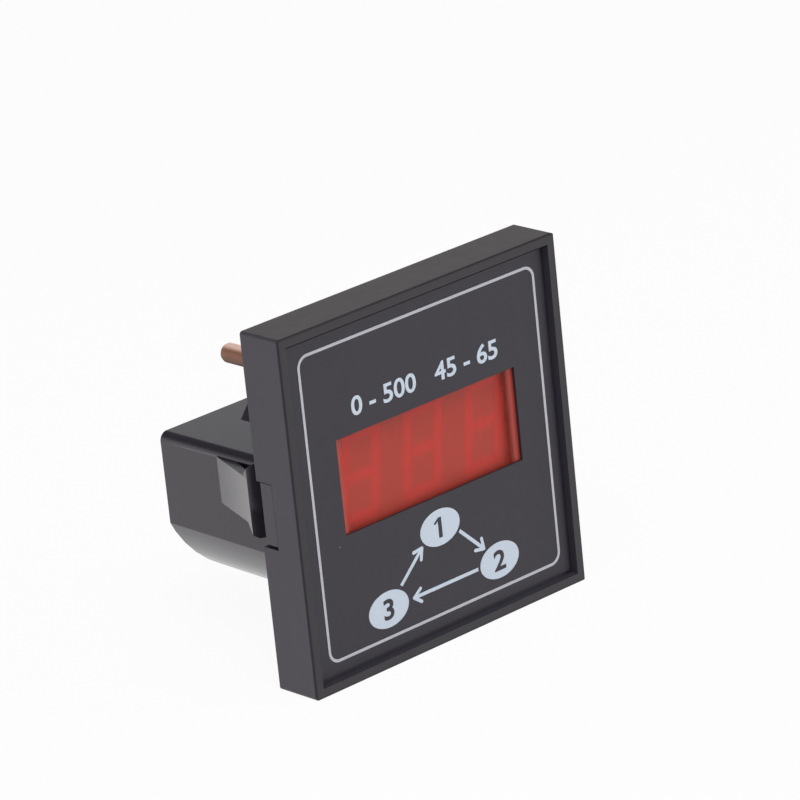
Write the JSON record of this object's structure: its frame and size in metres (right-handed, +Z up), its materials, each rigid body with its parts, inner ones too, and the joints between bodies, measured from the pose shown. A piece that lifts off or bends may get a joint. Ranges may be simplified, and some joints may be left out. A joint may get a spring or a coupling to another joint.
{
  "type": "digital panel meter",
  "caption": "Square black panel meter with a red three-digit display window, a round-bottomed barrel, moulded side snap arms, panel studs and rear screw terminals.",
  "frame": {"origin": "centre of the bezel's square back plane, where the meter seats on the panel", "axes": "+Y into the panel, out of the seat; +Z up the dial; +X to the right as seen from the front"},
  "size_m": [0.056, 0.0484, 0.056],
  "materials": {
    "black_abs_satin": "satin",
    "black_abs_gloss": "gloss",
    "dial_sheet": "matte",
    "dial_ink": "matte",
    "red_filter": "translucent",
    "display_housing": "matte",
    "segment_resin": "diffuse",
    "circuit_board": "solder mask",
    "copper_stud": "copper plated",
    "black_component": "matte",
    "gilt_metal": "bright",
    "bright_can": "bright",
    "capacitor_case": "matte",
    "capacitor_sleeve": "gloss",
    "resistor_lacquer": "gloss",
    "trimmer_blue": "gloss",
    "trimmer_white": "matte",
    "bright_steel": "zinc plated",
    "brass": "bright"
  },
  "bodies": {
    "meter": {"front_bezel": "black_abs_satin", "dial_plate": "dial_sheet", "dial_print": "dial_ink", "display_filter": "red_filter", "display_module": "display_housing", "display_segments": "segment_resin", "display_board": "circuit_board", "base_housing": "black_abs_gloss", "mounting_stud_upper": "copper_stud", "mounting_stud_lower": "copper_stud", "main_board": "circuit_board", "header_block": "black_component", "header_pins": "gilt_metal", "controller_chip": "black_component", "crystal": "bright_can", "voltage_regulator": "black_component", "bridge_rectifier": "black_component", "film_capacitor": "capacitor_case", "electrolytic_capacitor": "capacitor_sleeve", "divider_resistor_1": "resistor_lacquer", "divider_resistor_2": "resistor_lacquer", "divider_resistor_3": "resistor_lacquer", "trimmer_body": "trimmer_blue", "rear_cover": "black_abs_gloss", "cover_screws": "bright_steel", "terminal_stud_left": "brass", "terminal_stud_right": "brass", "terminal_tag_left": "brass", "terminal_tag_right": "brass", "terminal_locknuts": "brass", "terminal_washers": "bright_steel", "terminal_nuts": "brass"},
    "rotor": {"trimmer_rotor": "trimmer_white"}
  },
  "joints": [
    {"name": "trimmer_turn", "type": "hinge", "parent": "meter", "child": "rotor", "pos_m": [0, 0.024, -0.0056], "axis": [0, 1, 0], "range_deg": [-120, 120]}
  ]
}
